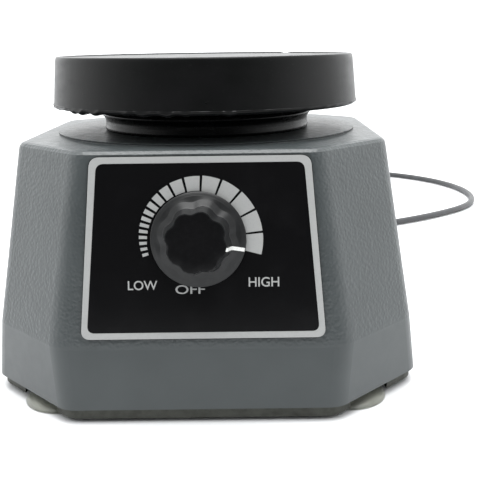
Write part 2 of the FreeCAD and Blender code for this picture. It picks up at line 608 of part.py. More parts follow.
def motor():
    motor_core()
    coil()
    core_top = "( core_z + core_height )"
    low_bridge = "( core_z - bracket_leg - bracket_thick )"
    bracket("motor_top_bracket", core_top, f"( {core_top} + bracket_leg )", f"( {core_top} + 4 )")
    bracket("motor_bottom_bracket", "( core_z - bracket_leg )", low_bridge, f"( {low_bridge} - 2 )")
    for label, low in (("top_bearing", f"( {core_top} + 4 )"), ("bottom_bearing", f"( {low_bridge} - 1 )")):
        turned(label, ring("shaft_radius + 0.04", "sleeve_radius - 0.02", low, f"{low} + sleeve_length"))
    ties, nuts = [], []
    for i, side in enumerate((-1, 1)):
        x = f"{side} * tie_x"
        ties.append(screw(f"tie_{i}", x, "0", f"{low_bridge} - tie_head_height", "tie_head", "tie_head_height",
                          "tie_radius", "tie_length"))
        nut = doc.addObject("Part::Prism", f"tie_nut_{i}_solid")
        nut.Polygon = 6
        bind(nut, "Circumradius", "tie_nut")
        bind(nut, "Height", "tie_head_height")
        place(nut, (x, "0", "motor_plate_z + motor_plate_thick"))
        hole = cylinder(f"tie_nut_{i}_hole", "tie_radius + 0.02", "6", (x, "0", "motor_plate_z"))
        nuts.append(cut(f"tie_nut_{i}", nut, hole))
    group("motor_tie_screws", ties)
    group("motor_tie_nuts", nuts)
    turned("rotor_core", ring("shaft_radius", "rotor_radius", "core_z", "core_z + core_height"))
    turned("motor_shaft", ring("0", "shaft_radius", "shaft_bottom", "shaft_top"))


def fan():
    body = turned("cooling_fan", ring("shaft_radius", "fan_hub", "fan_z", "fan_z + fan_hub_height"))
    blade = new_sketch(body, "blade", height="fan_z + 0.2")
    root = "fan_hub - 1.5"
    sweep = "fan_radius * 0.15"
    outline(blade, [(root, "-0.7"), ("fan_radius", f"{sweep} - 0.7"),
                    ("fan_radius", f"{sweep} + 0.7"), (root, "0.7")])
    first = pad(body, blade, "fan_blade_height")
    polar(body, first, "fan_blades")


# ---- eccentric drive and platform ------------------------------------------------------------------------

def crank():
    """The hub on the motor's shaft and, in one piece with it, the pin that stands off its axis towards -Y."""
    body = new_body("eccentric_crank")
    hub = new_sketch(body, "hub", height="crank_z")
    circle(hub, "0", "0", "crank_radius")
    pad(body, hub, "crank_top - crank_z")
    shoulder = new_sketch(body, "shoulder", height="crank_top")
    circle(shoulder, "0", "-1 * orbit", "washer_radius - 0.2")
    pad(body, shoulder, "bearing_z - crank_top")
    pin = new_sketch(body, "pin", height="bearing_z - 0.2")
    circle(pin, "0", "-1 * orbit", "bearing_bore")
    pad(body, pin, "2 * bearing_width + 0.2")
    bore = new_sketch(body, "bore", height="crank_z - 1")
    circle(bore, "0", "0", "shaft_radius")
    pocket(body, bore, "shaft_top - crank_z + 1.2", reverse=True)
    thread = new_sketch(body, "thread", height="bearing_z + 2 * bearing_width + 1")
    circle(thread, "0", "-1 * orbit", "pin_screw_radius + 0.05")
    pocket(body, thread, "pin_screw_length + 1.5")
    side_hole = new_sketch(body, "set_screw_hole", "XZ_Plane", "-1 * crank_radius - 1")
    circle(side_hole, "0", "set_screw_z", "set_screw_radius + 0.03")
    pocket(body, side_hole, "crank_radius", reverse=True)
    screw_end = ("0", "shaft_radius + set_screw_length + 0.1", "set_screw_z")
    set_screw = cylinder("crank_set_screw", "set_screw_radius", "set_screw_length", screw_end, (1, 0, 0), "90")
    keep(set_screw, "crank_set_screw")


def counterweight():
    """A part-round steel plate pressed on the hub, opposite the crank pin."""
    disc = doc.addObject("Part::Cylinder", "weight_sector")
    bind(disc, "Radius", "weight_radius")
    bind(disc, "Height", "weight_thick")
    bind(disc, "Angle", "weight_angle")
    place(disc, ("0", "0", "weight_z"), (0, 0, 1), "90 - weight_angle / 2")
    collar = cylinder("weight_collar", "crank_radius + weight_collar", "weight_thick", ("0", "0", "weight_z"))
    hole = cylinder("weight_hole", "crank_radius", "20", ("0", "0", "weight_z - 5"))
    keep(cut("counterweight", fused("weight_solid", [disc, collar]), hole), "counterweight")


def platform():
    top = "( cap_top_z - cap_skin )"
    at = ("0", "-1 * orbit", "0")
    hub_bore = "( bearing_outer + 0.01 )"
    stack_top = "( bearing_z + 2 * bearing_width )"
    body = turned("platform_plate", [
        (hub_bore, "hub_z"), ("hub_radius", "hub_z"), ("hub_radius", f"{top} - plate_web"),
        ("plate_radius - plate_rim", f"{top} - plate_web"),
        ("plate_radius - plate_rim", "cap_bottom_z + cap_lip"),
        ("plate_radius", "cap_bottom_z + cap_lip"), ("plate_radius", top), ("hub_shoulder", top),
        ("hub_shoulder", stack_top), (hub_bore, stack_top)], at)
    rib = new_sketch(body, "rib", height="cap_bottom_z + cap_lip + 2.5")
    outline(rib, rectangle("hub_radius - 1", "plate_radius - 1", "-1 * rib_thick / 2", "rib_thick / 2"))
    first = pad(body, rib, f"{top} - plate_web - cap_bottom_z - cap_lip - 2")
    polar(body, first, "ribs")
    slope = "( ( cap_bottom_radius - cap_top_radius ) / ( cap_top_z - cap_bottom_z ) )"
    turned("platform_rubber", [
        ("cap_lip_radius", "cap_bottom_z"), ("cap_bottom_radius - 0.6", "cap_bottom_z"),
        ("cap_bottom_radius", "cap_bottom_z + 0.6"), (f"cap_top_radius + 0.9 * {slope}", "cap_top_z - 0.9"),
        ("cap_top_radius - 0.9", "cap_top_z"), ("0", "cap_top_z"), ("0", top), ("plate_radius", top),
        ("plate_radius", "cap_bottom_z + cap_lip"), ("cap_lip_radius", "cap_bottom_z + cap_lip")], at)
    bearings(at)


def pierced(name, radius, bore, length, at):
    """A plain ring along Z."""
    x, y, low = at
    outside = cylinder(f"{name}_outside", radius, length, at)
    return cut(name, outside, cylinder(f"{name}_bore", bore, f"{length} + 2", (x, y, f"{low} - 1")))


def bearings(at):
    """Two ball bearings on the crank pin, and the washer and screw that hold them there."""
    inner, outer, balls = [], [], []
    width = "bearing_width - 0.1"
    for i in range(2):
        low = f"( bearing_z + {i} * bearing_width )"
        middle = f"( {low} + bearing_width / 2 )"
        groove = doc.addObject("Part::Torus", f"race_{i}")
        bind(groove, "Radius1", "race_radius")
        bind(groove, "Radius2", "groove_radius")
        place(groove, (at[0], at[1], middle))
        blank = pierced(f"inner_blank_{i}", "inner_ring", "bearing_bore + 0.01", width, (at[0], at[1], low))
        inner.append(cut(f"inner_ring_{i}", blank, groove))
        blank = pierced(f"outer_blank_{i}", "bearing_outer", "outer_ring", width, (at[0], at[1], low))
        outer.append(cut(f"outer_ring_{i}", blank, groove))
        for k in range(7):
            turn = 2 * math.pi * k / 7
            ball = doc.addObject("Part::Sphere", f"ball_{i}_{k}")
            bind(ball, "Radius", "ball_radius")
            x, y = f"{math.cos(turn):.5f} * race_radius", f"{math.sin(turn):.5f} * race_radius - orbit"
            place(ball, (x, y, middle))
            balls.append(ball)
    group("bearing_inner_rings", inner)
    group("bearing_outer_rings", outer)
    group("bearing_balls", balls)
    end = "( bearing_z + 2 * bearing_width )"
    washer = pierced("crank_washer", "washer_radius", "pin_screw_radius + 0.1", "washer_thick",
                     (at[0], at[1], end))
    keep(washer, "crank_washer")
    keep(screw("crank_screw", at[0], at[1], f"{end} + washer_thick", "pin_screw_head", "pin_screw_head_height",
               "pin_screw_radius", "pin_screw_length", up=False), "crank_screw")


# ---- electrical parts ------------------------------------------------------------------------------------

BOARD_TOP = "( board_z + board_thick )"


def circuit_board():
    """The board on four standoffs, and the four screws that hold it."""
    board = block("board_sheet", ("2 * board_half", "board_depth", "board_thick"),
                  ("-1 * board_half", "board_front", "board_z"))
    holes, posts, screws = [], [], []
    spots = [(f"{side} * ( board_half - board_corner )", y) for side in (-1, 1)
             for y in ("board_front + board_corner", "board_front + board_depth - board_corner")]
    for i, (x, y) in enumerate(spots):
        holes.append(cylinder(f"board_hole_{i}", "board_hole", "board_thick + 2", (x, y, "board_z - 1")))
        post = cylinder(f"post_{i}_solid", "board_post", "board_z - bottom_z", (x, y, "bottom_z"))
        thread = cylinder(f"post_{i}_hole", "board_hole - 0.08", "board_z", (x, y, "bottom_z + 1"))
        posts.append(cut(f"post_{i}", post, thread))
        screws.append(screw(f"board_screw_{i}", x, y, BOARD_TOP, "2.6", "1.8", "1.5", "7.4", up=False))
    keep(cut("circuit_board", board, fused("board_holes", holes)), "circuit_board")
    group("board_standoffs", posts)
    group("board_screws", screws)


def triac():
    """The switch that dims the motor: a case and a metal tab above three legs, with its heat sink behind."""
    at_foot = ("triac_x", "triac_y", f"{BOARD_TOP} + triac_lift")
    at_tab = ("triac_x", "triac_y + triac_thick - tab_thick", f"{BOARD_TOP} + triac_lift")
    pieces = [block("triac_case", ("triac_width", "triac_thick", "triac_height"), at_foot),
              block("triac_tab", ("triac_width", "tab_thick", "tab_height"), at_tab)]
    for i in range(3):
        x = f"triac_x + 1.6 + {i} * 2.9"
        pieces.append(block(f"triac_leg_{i}", ("0.9", "0.6", "triac_lift + 1"), (x, "triac_y + 2", BOARD_TOP)))
    keep(fused("triac", pieces), "triac")
    sink_y = "triac_y + triac_thick + 0.05"
    fins = [block("sink_back", ("sink_width", "sink_back", "sink_height"), ("0", sink_y, BOARD_TOP))]
    for i in range(int(SIZES["fins"])):
        x = f"{i} * ( sink_width - fin_thick ) / ( fins - 1 )"
        fins.append(block(f"sink_fin_{i}", ("fin_thick", "fin_depth", "sink_height"), (x, sink_y, BOARD_TOP)))
    keep(fused("heat_sink", fins), "heat_sink")


def fuse():
    """A glass fuse lying between two clips."""
    lying = ("fuse_x", "fuse_y", f"{BOARD_TOP} + fuse_radius + 0.4")
    keep(cylinder("fuse", "fuse_radius", "fuse_length", lying, (0, 1, 0), "90"), "fuse")
    clips = []
    near, far = "fuse_y - fuse_radius - 0.6", "fuse_y + fuse_radius + 0.1"
    for i, x in enumerate(("fuse_x", "fuse_x + fuse_length - 3")):
        clips.append(fused(f"fuse_clip_{i}", [
            block(f"clip_{i}_foot", ("3", "2 * fuse_radius + 1.2", "0.4"), (x, near, BOARD_TOP)),
            block(f"clip_{i}_near", ("3", "0.5", "5"), (x, near, BOARD_TOP)),
            block(f"clip_{i}_far", ("3", "0.5", "5"), (x, far, BOARD_TOP))]))
    group("fuse_clips", clips)


def electrics():
    circuit_board()
    triac()
    fuse()
    keep(block("film_capacitor", ("13", "6", "11"), ("-6", "board_front + 2.5", BOARD_TOP)), "film_capacitor")
    choke_at = ("choke_x", "choke_y", BOARD_TOP)
    keep(pierced("choke_ring", "choke_radius", "choke_bore", "choke_height", choke_at), "choke")
    keep(block("terminal_block", ("15", "8", "9"), ("4", "board_front + 10.5", BOARD_TOP)), "terminal_block")


def strain_relief():
    """A tapered sleeve that grips the back wall in a groove."""
    outside = "( bottom_half - ( cord_z - bottom_z ) * ( bottom_half - kink_half ) / ( kink_z - bottom_z ) )"
    outer = f"( {outside} + 0.9 - relief_start )"
    inner = f"( {outside} - wall - 0.9 - relief_start )"
    tip = "( relief_end - relief_start )"
    turned("strain_relief", [
        ("cord_radius", "0"), ("relief_radius + 0.6", "0"), ("relief_radius + 0.6", inner),
        ("relief_hole", inner), ("relief_hole", outer), ("relief_radius + 0.9", outer),
        ("relief_radius + 0.6", f"{outer} + 2"),
        ("relief_radius - 0.6", f"{outer} + 4"), ("cord_radius + 0.8", tip), ("cord_radius", tip)],
        ("cord_x", "relief_start", "cord_z"), (1, 0, 0), "-90")


def rounded_path(points):
    """Straight runs joined by tangent arcs, each as large as its two runs allow, and the arcs' radii."""
    spots = [FreeCAD.Vector(*point) for point in points]
    edges, radii = [], []
    start = spots[0]
    for before, corner, after in zip(spots, spots[1:], spots[2:]):
        back, ahead = before - corner, after - corner
        reach = 0.45 * min(back.Length, ahead.Length)
        half_turn = (math.pi - back.getAngle(ahead)) / 2
        radius = reach / math.tan(half_turn)
        back.normalize()
        ahead.normalize()
        towards = (back + ahead).normalize()
        middle = corner + towards * (radius / math.cos(half_turn) - radius)
        first, last = corner + back * reach, corner + ahead * reach
        edges.append(Part.LineSegment(start, first).toShape())
        edges.append(Part.Arc(first, middle, last).toShape())
        radii.append(radius)
        start = last
    edges.append(Part.LineSegment(start, spots[-1]).toShape())
    return Part.Wire(edges), radii


def tube(points, radius):
    """A round solid along a rounded path, whose volume is its section times its length."""
    path, radii = rounded_path(points)
    start = FreeCAD.Vector(*points[0])
    along = (FreeCAD.Vector(*points[1]) - start).normalize()
    section = Part.Wire(Part.makeCircle(radius, start, along))
    solid = path.makePipeShell([section], True, False)
    expected = math.pi * radius ** 2 * path.Length
    if abs(solid.Volume / expected - 1) > 0.01:
        raise RuntimeError(f"a tube's volume is {solid.Volume:.0f}, not {expected:.0f}")
    return solid, path.Length, radii


# The lead's route from the strain relief, down to the table, round a loop on the right and back to the coil.
ROUTE = (
    (12, 86, 12.5), (12, 98, 11.2), (14, 112, 6), (21, 126, 2.2), (35, 138.5, 1.8), (56, 150.5, 1.8),
    (81, 163, 1.8), (104, 176, 1.8), (124, 189.5, 1.8), (145, 207.5, 1.8), (158.5, 226, 1.8), (165, 249, 1.8),
    (164.5, 274, 1.8), (157.5, 298, 1.8), (145, 319, 1.8), (127, 337, 1.8), (108, 347.5, 1.8), (89, 352, 1.8),
    (70, 351.5, 1.8), (52, 349.6, 1.8),
)


def power_lead():
    strain_relief()
    radius = number("cord_radius")
    solid, length, radii = tube(ROUTE, radius)
    lead = doc.addObject("Part::Feature", "power_cord")
    lead.Shape = solid
    keep(lead, "power_cord")
    print("cord run", round(length), "mm, radii", [round(r) for r in radii])
    half_width = "( coil_across * cord_radius )"
    turned("power_cord_coil", ring(f"coil_radius - {half_width}", f"coil_radius + {half_width}", "0",
                                   "coil_layers * cord_radius * 2"), ("coil_x", "coil_y", "0"))
    outer_turn = "( coil_radius + ( coil_across - 1 ) * cord_radius )"
    plug_x = f"( coil_x - {outer_turn} )"
    middle = "( plug_thick / 2 )"
    keep(cylinder("power_cord_end", "cord_radius", "coil_y - 4 - plug_rear", (plug_x, "plug_rear", middle),
                  (1, 0, 0), "-90"), "power_cord_end")
    plug = new_body("plug")
    sketch = new_sketch(plug, "outline")
    wide, narrow = "plug_half", "plug_rear_half"
    outline(sketch, [(f"-1 * {wide}", "-1 * plug_length"), (wide, "-1 * plug_length"),
                     (wide, "-0.45 * plug_length"), (narrow, "-0.1 * plug_length"), (narrow, "0"),
                     (f"-1 * {narrow}", "0"), (f"-1 * {narrow}", "-0.1 * plug_length"),
                     (f"-1 * {wide}", "-0.45 * plug_length")])
    pad(plug, sketch, "plug_thick")
    place(plug, (plug_x, "plug_rear", "0"))
    pins = []
    for i, side in enumerate((-1, 1)):
        at = (f"{plug_x} + {side} * pin_apart / 2", "plug_rear - plug_length", middle)
        pins.append(cylinder(f"plug_pin_{i}", "pin_radius", "pin_length", at, (1, 0, 0), "90"))
    group("plug_pins", pins)


# Leads inside the housing: dial to board, motor coil to terminals, and strain relief to terminals.
LEADS = (
    ((3.5, -50.6, 38), (6, -50, 31), (10, -49.4, 24), (11, -49, 14)),
    ((-3.5, -50.6, 38), (-6, -50.5, 33), (-12, -48.5, 27), (-13.5, -48.5, 14)),
    ((14.6, 44, 25), (28, 43, 25), (37, 31, 24.5), (39, 4, 24), (36, -24, 23.5), (26, -37, 20),
     (19.9, -38.2, 18)),
    ((12, 53.6, 13.4), (18, 46, 11), (29, 31, 9.6), (33.5, 4, 9.4), (32, -22, 10), (26, -34, 13),
     (19.9, -42, 16)),
    ((12, 53.6, 11.4), (17, 44.5, 9), (27, 29.5, 7.2), (31, 4, 7), (30.5, -20, 8), (28, -32, 11.5),
     (24, -40.5, 15), (20, -43.4, 18.4)),
)


def wiring():
    item = doc.addObject("Part::Feature", "wiring")
    item.Shape = Part.makeCompound([tube(points, number("wire_radius"))[0] for points in LEADS])
    keep(item, "wiring")


housing()
control_panel()
base_plate()
feet()
boot()
knob()
potentiometer()
motor_plate()
motor()
fan()
crank()
counterweight()
platform()
electrics()
wiring()
power_lead()
for item in NODES:
    own = {path.lstrip("."): text for path, text in item.ExpressionEngine}.get("Placement.Base.y", "0")
    item.setExpression("Placement.Base.y", f"{own} + Sizes.axis_y")
doc.recompute()

os.makedirs("parts", exist_ok=True)
for item in doc.Objects:
    if "Invalid" in item.State or "Error" in item.State:
        raise RuntimeError(f"{item.Name} failed: {item.State}")
for item in NODES:
    shape = item.Shape
    if shape.isNull() or not shape.isValid() or not shape.Solids:
        raise RuntimeError(f"{item.Label} has no sound shape")
for item in NODES:
    item.Shape.exportStep(f"parts/{item.Label}.step")
    print(item.Label, len(item.Shape.Solids), round(item.Shape.Volume))
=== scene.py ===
import json
import math
import random

import bmesh
import bpy
from mathutils import Matrix, Vector

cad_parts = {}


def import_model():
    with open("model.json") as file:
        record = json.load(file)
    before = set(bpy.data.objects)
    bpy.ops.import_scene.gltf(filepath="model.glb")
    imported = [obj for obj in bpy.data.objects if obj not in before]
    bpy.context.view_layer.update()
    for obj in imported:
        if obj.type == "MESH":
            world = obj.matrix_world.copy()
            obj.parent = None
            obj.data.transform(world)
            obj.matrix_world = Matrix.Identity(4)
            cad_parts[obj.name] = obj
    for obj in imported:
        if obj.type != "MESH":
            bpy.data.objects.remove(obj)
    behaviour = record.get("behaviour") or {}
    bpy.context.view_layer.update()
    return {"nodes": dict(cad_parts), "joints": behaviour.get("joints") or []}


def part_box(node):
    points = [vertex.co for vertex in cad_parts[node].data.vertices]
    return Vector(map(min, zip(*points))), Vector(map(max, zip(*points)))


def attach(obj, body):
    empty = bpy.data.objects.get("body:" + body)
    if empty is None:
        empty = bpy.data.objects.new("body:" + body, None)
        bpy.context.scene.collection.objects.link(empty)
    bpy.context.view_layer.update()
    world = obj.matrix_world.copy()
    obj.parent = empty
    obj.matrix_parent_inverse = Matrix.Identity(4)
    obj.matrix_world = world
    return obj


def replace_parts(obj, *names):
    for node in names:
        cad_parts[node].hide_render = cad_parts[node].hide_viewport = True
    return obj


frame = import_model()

# A bench vortex mixer.  Lengths in this script are millimetres unless a comment says metres, and MM turns
# them into the frame's metres.
MM = 0.001
JOINTS = {joint["name"]: joint for joint in frame["joints"]}
MOTOR_AXIS = Vector(JOINTS["motor_spin"]["pos_m"]) * Vector((1, 1, 0))
PLATFORM_AXIS = Vector(JOINTS["platform_orbit"]["pos_m"]) * Vector((1, 1, 0))
DIAL_CENTRE = Vector(JOINTS["dial_turn"]["pos_m"])
DIAL_NORMAL = Vector(JOINTS["dial_turn"]["axis"])


# ---- camera ----------------------------------------------------------------------------------------------

def camera():
    """The viewpoint: in front, a little above the platform's top and looking down."""
    data = bpy.data.cameras.new("camera")
    data.sensor_width = 36
    data.lens = 55.3
    item = bpy.data.objects.new("camera", data)
    bpy.context.collection.objects.link(item)
    yaw, pitch, roll = math.radians(-0.1), math.radians(15.2), math.radians(-0.75)
    turn = Matrix.Rotation(-yaw, 4, "Z") @ Matrix.Rotation(math.pi / 2 - pitch, 4, "X")
    turn = turn @ Matrix.Rotation(roll, 4, "Z")
    platform_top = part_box("platform_rubber")[1].z
    behind = Vector((14.5, -263.1, 4.0)) * MM
    item.matrix_world = Matrix.Translation(PLATFORM_AXIS + Vector((0, 0, platform_top)) + behind) @ turn
    bpy.context.scene.camera = item


# ---- materials -------------------------------------------------------------------------------------------

def tone(red, green, blue):
    """A colour given as it looks on a screen, 0 to 255, in the linear values that shaders take."""
    return [((c / 255 + 0.055) / 1.055) ** 2.4 if c > 10 else c / 255 / 12.92 for c in (red, green, blue)]


class Look:
    """A material whose nodes are being joined up.  Its textures are set out in the object's own space."""

    def __init__(self, name, colour, roughness, metallic=0.0, **sockets):
        self.material = bpy.data.materials.new(name)
        self.material.use_nodes = True
        self.tree = self.material.node_tree
        self.shader = self.tree.nodes["Principled BSDF"]
        self.colour = colour
        values = {"Base Color": (*colour, 1), "Roughness": roughness, "Metallic": metallic}
        values.update({key.replace("_", " "): value for key, value in sockets.items()})
        for key, value in values.items():
            self.shader.inputs[key].default_value = value
        self.place = self.tree.nodes.new("ShaderNodeTexCoord").outputs["Object"]
        self.normal = None

    def node(self, kind, links=(), **values):
        """A new node, with its inputs set by name from values and linked by name from sockets."""
        made = self.tree.nodes.new(kind)
        for key, value in values.items():
            made.inputs[key.replace("_", " ")].default_value = value
        for key, socket in dict(links).items():
            self.tree.links.new(socket, made.inputs[key])
        return made

    def stretched(self, stretch):
        return self.node("ShaderNodeMapping", {"Vector": self.place}, Scale=stretch).outputs["Vector"]

    def noise(self, size, detail=3.0, stretch=(1, 1, 1)):
        """Soft noise whose blotches are about this size."""
        made = self.node("ShaderNodeTexNoise", {"Vector": self.stretched(stretch)}, Scale=1 / (size * MM),
                         Detail=detail)
        return made.outputs["Fac"]

    def cells(self, size, stretch=(1, 1, 1)):
        """Rounded cells of about this size, dark in their middles."""
        made = self.node("ShaderNodeTexVoronoi", {"Vector": self.stretched(stretch)}, Scale=1 / (size * MM))
        made.feature = "SMOOTH_F1"
        return made.outputs["Distance"]

    def bands(self, pitch, direction, distortion=0.0):
        """Even waves of this pitch along one axis."""
        made = self.node("ShaderNodeTexWave", {"Vector": self.place}, Scale=math.pi / 10 / (pitch * MM),
                         Distortion=distortion)
        made.bands_direction = direction
        return made.outputs["Fac"]

    def height(self):
        return self.node("ShaderNodeSeparateXYZ", {"Vector": self.place}).outputs["Z"]

    def between(self, value, low, high, to_low=0.0, to_high=1.0):
        """A value mapped from one range to another, and held at its ends."""
        made = self.node("ShaderNodeMapRange", {"Value": value}, From_Min=low, From_Max=high, To_Min=to_low,
                         To_Max=to_high)
        return made.outputs["Result"]

    def times(self, first, second):
        made = self.node("ShaderNodeMath", {0: first, 1: second})
        made.operation = "MULTIPLY"
        return made.outputs["Value"]

    def paint(self, factor, other):
        """Let the base colour run to another colour where the factor is high."""
        made = self.tree.nodes.new("ShaderNodeMix")
        made.data_type = "RGBA"
        socket = self.shader.inputs["Base Color"]
        if socket.is_linked:
            self.tree.links.new(socket.links[0].from_socket, made.inputs[6])
        else:
            made.inputs[6].default_value = (*self.colour, 1)
        made.inputs[7].default_value = (*other, 1)
        self.tree.links.new(factor, made.inputs[0])
        self.tree.links.new(made.outputs[2], socket)
        return self

    def rough(self, factor, low, high):
        """Let the roughness run between two values with a factor."""
        self.tree.links.new(self.between(factor, 0, 1, low, high), self.shader.inputs["Roughness"])
        return self

    def bump(self, height, depth, strength=1.0):
        """Raise the surface by up to this depth where the height is high."""
        links = {"Height": height}
        if self.normal:
            links["Normal"] = self.normal
        made = self.node("ShaderNodeBump", links, Distance=depth * MM, Strength=strength)
        self.normal = made.outputs["Normal"]
        self.tree.links.new(self.normal, self.shader.inputs["Normal"])
        return self


SKIRT_TOP = 22.3
DECK_TOP, BOSS_TOP = 76.6, 77.2


def housing_paint():
    """Slate-grey enamel, pebbled on the tapered sides, coarser round the boot, nearly smooth on the skirt."""
    look = Look("housing_paint", tone(61, 66, 67), 0.34)
    above_skirt = look.between(look.height(), (SKIRT_TOP - 0.8) * MM, (SKIRT_TOP + 1.2) * MM)
    look.paint(look.between(look.noise(14, 4), 0.35, 0.75), tone(56, 61, 62))
    look.rough(look.noise(3, 4), 0.28, 0.44)
    look.bump(look.times(look.cells(0.95), above_skirt), 0.14, 1.0)
    on_boss = look.between(look.height(), (DECK_TOP + 0.3) * MM, (BOSS_TOP - 0.1) * MM)
    look.bump(look.times(look.noise(2.2, 3), on_boss), 0.5, 1.0)
    look.bump(look.times(look.noise(0.6, 3), above_skirt), 0.06, 0.9)
    return look.bump(look.noise(0.4, 2), 0.015, 0.6).material


def panel_black():
    """Glossy black film over the dial plate, with a fine orange-peel and a few faint smears."""
    look = Look("panel_black", tone(12, 12, 13), 0.12, Specular_IOR_Level=0.12)
    look.paint(look.between(look.noise(9, 5), 0.5, 0.8), tone(17, 17, 18))
    look.rough(look.noise(6, 5), 0.08, 0.2)
    return look.bump(look.noise(1.5, 2), 0.006, 0.5).material


def panel_print():
    """Light-grey screen print."""
    look = Look("panel_print", tone(156, 157, 156), 0.45)
    look.paint(look.between(look.noise(0.5, 3), 0.5, 0.85), tone(148, 149, 149))
    return look.bump(look.noise(0.3, 2), 0.006, 0.6).material


def knob_black():
    """Moulded phenolic plastic, satin, with fine mould lines."""
    look = Look("knob_black", tone(16, 17, 18), 0.26, Specular_IOR_Level=0.3)
    look.paint(look.between(look.noise(1.6, 4), 0.45, 0.8), tone(25, 26, 27))
    look.rough(look.noise(2.2, 4), 0.24, 0.42)
    return look.bump(look.noise(0.35, 3), 0.012, 0.7).material


def cap_face():
    """The knob's dark end cap, finely turned."""
    look = Look("cap_face", tone(12, 12, 13), 0.25, Specular_IOR_Level=0.12)
    look.paint(look.between(look.noise(1.1, 4), 0.45, 0.8), tone(18, 18, 19))
    return look.bump(look.noise(0.5, 4, (1, 1, 0.3)), 0.006, 0.7).material


def pointer_white():
    look = Look("pointer_white", tone(224, 225, 222), 0.4)
    look.paint(look.between(look.noise(0.5, 3), 0.5, 0.8), tone(188, 189, 186))
    return look.bump(look.noise(0.3, 2), 0.01, 0.6).material


def black_rubber():
    """Polished black rubber with faint rub marks and dust."""
    look = Look("black_rubber", tone(9, 10, 10), 0.24, Specular_IOR_Level=0.16)
    look.paint(look.between(look.noise(0.8, 5), 0.62, 0.8), tone(28, 29, 29))
    look.paint(look.between(look.noise(22, 4), 0.5, 0.8), tone(15, 15, 16))
    look.rough(look.noise(7, 5, (1, 1, 2.5)), 0.24, 0.42)
    look.bump(look.noise(0.5, 3), 0.012, 0.7)
    return look.bump(look.noise(5, 2, (1, 1, 0.4)), 0.05, 0.5).material


def boot_rubber():
    """Softer, shinier black rubber, streaked where it was handled."""
    look = Look("boot_rubber", tone(10, 11, 12), 0.3, Specular_IOR_Level=0.15)
    look.paint(look.between(look.noise(3, 5, (1, 1, 3)), 0.55, 0.8), tone(24, 25, 26))
    look.rough(look.noise(4, 5), 0.16, 0.36)
    return look.bump(look.noise(1.2, 3), 0.03, 0.6).material


def foot_rubber():
    """Milky, half-clear silicone."""
    look = Look("foot_rubber", tone(206, 208, 198), 0.3, Transmission_Weight=0.8, IOR=1.42)
    look.paint(look.between(look.noise(4, 4), 0.4, 0.8), tone(186, 188, 176))
    look.rough(look.noise(1.5, 4), 0.22, 0.45)
    return look.bump(look.noise(0.9, 3), 0.03, 0.6).material


def lead_grey():
    """Dark grey PVC sheath with a slight drawn grain."""
    look = Look("lead_grey", tone(52, 53, 55), 0.42)
    look.paint(look.between(look.noise(5, 4), 0.45, 0.8), tone(66, 67, 69))
    look.rough(look.noise(2, 4), 0.34, 0.52)
    return look.bump(look.noise(0.5, 3), 0.02, 0.7).material


def plug_black():
    """Moulded PVC with a fine spark-eroded texture."""
    look = Look("plug_black", tone(30, 30, 31), 0.5)
    look.paint(look.between(look.noise(3, 4), 0.45, 0.8), tone(42, 42, 43))
    look.rough(look.noise(1, 3), 0.42, 0.6)
    return look.bump(look.cells(0.4), 0.02, 0.7).material


def turned_metal(name, colour, roughness, stain, pitch=0.25):
    """A turned or drawn metal: fine lines round the Z axis, and a few stains."""
    look = Look(name, colour, roughness, 1.0)
    look.paint(look.between(look.noise(4, 5), 0.45, 0.8), stain)
    look.rough(look.noise(1.2, 4), roughness * 0.8, roughness * 1.5)
    return look.bump(look.noise(pitch, 2, (0.2, 0.2, 1)), 0.01, 0.6).material


def zinc_steel():
    return turned_metal("zinc_steel", tone(196, 200, 204), 0.28, tone(170, 172, 168))


# Black steel of the base plate and screws; its olive-grey tone is partly painted shade, set to the tone of the
# shadow on the table under the housing's bottom edge
def black_steel():
    return turned_metal("black_steel", tone(78, 79, 75), 0.5, tone(60, 61, 57))


def machined_steel():
    return turned_metal("machined_steel", tone(190, 190, 188), 0.22, tone(160, 158, 154))


def bearing_steel():
    return turned_metal("bearing_steel", tone(206, 207, 208), 0.14, tone(182, 183, 184), 0.15)


def bronze():
    return turned_metal("bronze", tone(176, 132, 84), 0.36, tone(140, 100, 62))


def pin_brass():
    return turned_metal("pin_brass", tone(206, 190, 150), 0.2, tone(186, 168, 124))


def pot_metal():
    return turned_metal("pot_metal", tone(176, 176, 172), 0.34, tone(150, 148, 140))


def cast_aluminium():
    """Sand-blasted casting, grainy and a little darker in its low spots."""
    look = Look("cast_aluminium", tone(182, 184, 186), 0.48, 1.0)
    look.paint(look.between(look.noise(2, 5), 0.45, 0.75), tone(146, 148, 151))
    look.rough(look.noise(0.8, 4), 0.4, 0.62)
    return look.bump(look.noise(0.5, 4), 0.06, 0.8).material


def lamination():
    """A stack of thin varnished steel sheets, seen as fine lines across Z."""
    look = Look("lamination", tone(96, 92, 90), 0.44, 0.85)
    look.paint(look.bands(0.5, "Z"), tone(62, 58, 56))
    look.paint(look.between(look.noise(5, 4), 0.5, 0.8), tone(104, 78, 60))
    return look.bump(look.bands(0.5, "Z"), 0.05, 0.9).material


def copper_wire():
    """Turns of enamelled wire side by side under clear varnish."""
    look = Look("copper_wire", tone(168, 92, 48), 0.3, 0.8)
    look.paint(look.bands(0.45, "X", distortion=0.6), tone(96, 44, 22))
    return look.bump(look.bands(0.45, "X", distortion=0.6), 0.1, 0.9).material


def board_laminate():
    """Pale brown paper laminate, with the copper's darker tracks showing through."""
    look = Look("board_laminate", tone(168, 132, 84), 0.4)
    look.paint(look.between(look.cells(5, (1, 1, 0.1)), 0.5, 0.56), tone(128, 98, 58))
    look.paint(look.between(look.noise(0.7, 4), 0.5, 0.8), tone(150, 116, 70))
    return look.bump(look.noise(0.6, 3), 0.02, 0.5).material


def moulded(name, colour, mottle, roughness, grain=0.5):
    """Plain moulded plastic or resin: slight mottling and a fine grain."""
    look = Look(name, colour, roughness)
    look.paint(look.between(look.noise(3, 4), 0.45, 0.8), mottle)
    look.rough(look.noise(1.2, 4), roughness * 0.8, roughness * 1.3)
    return look.bump(look.noise(grain, 3), 0.02, 0.6).material


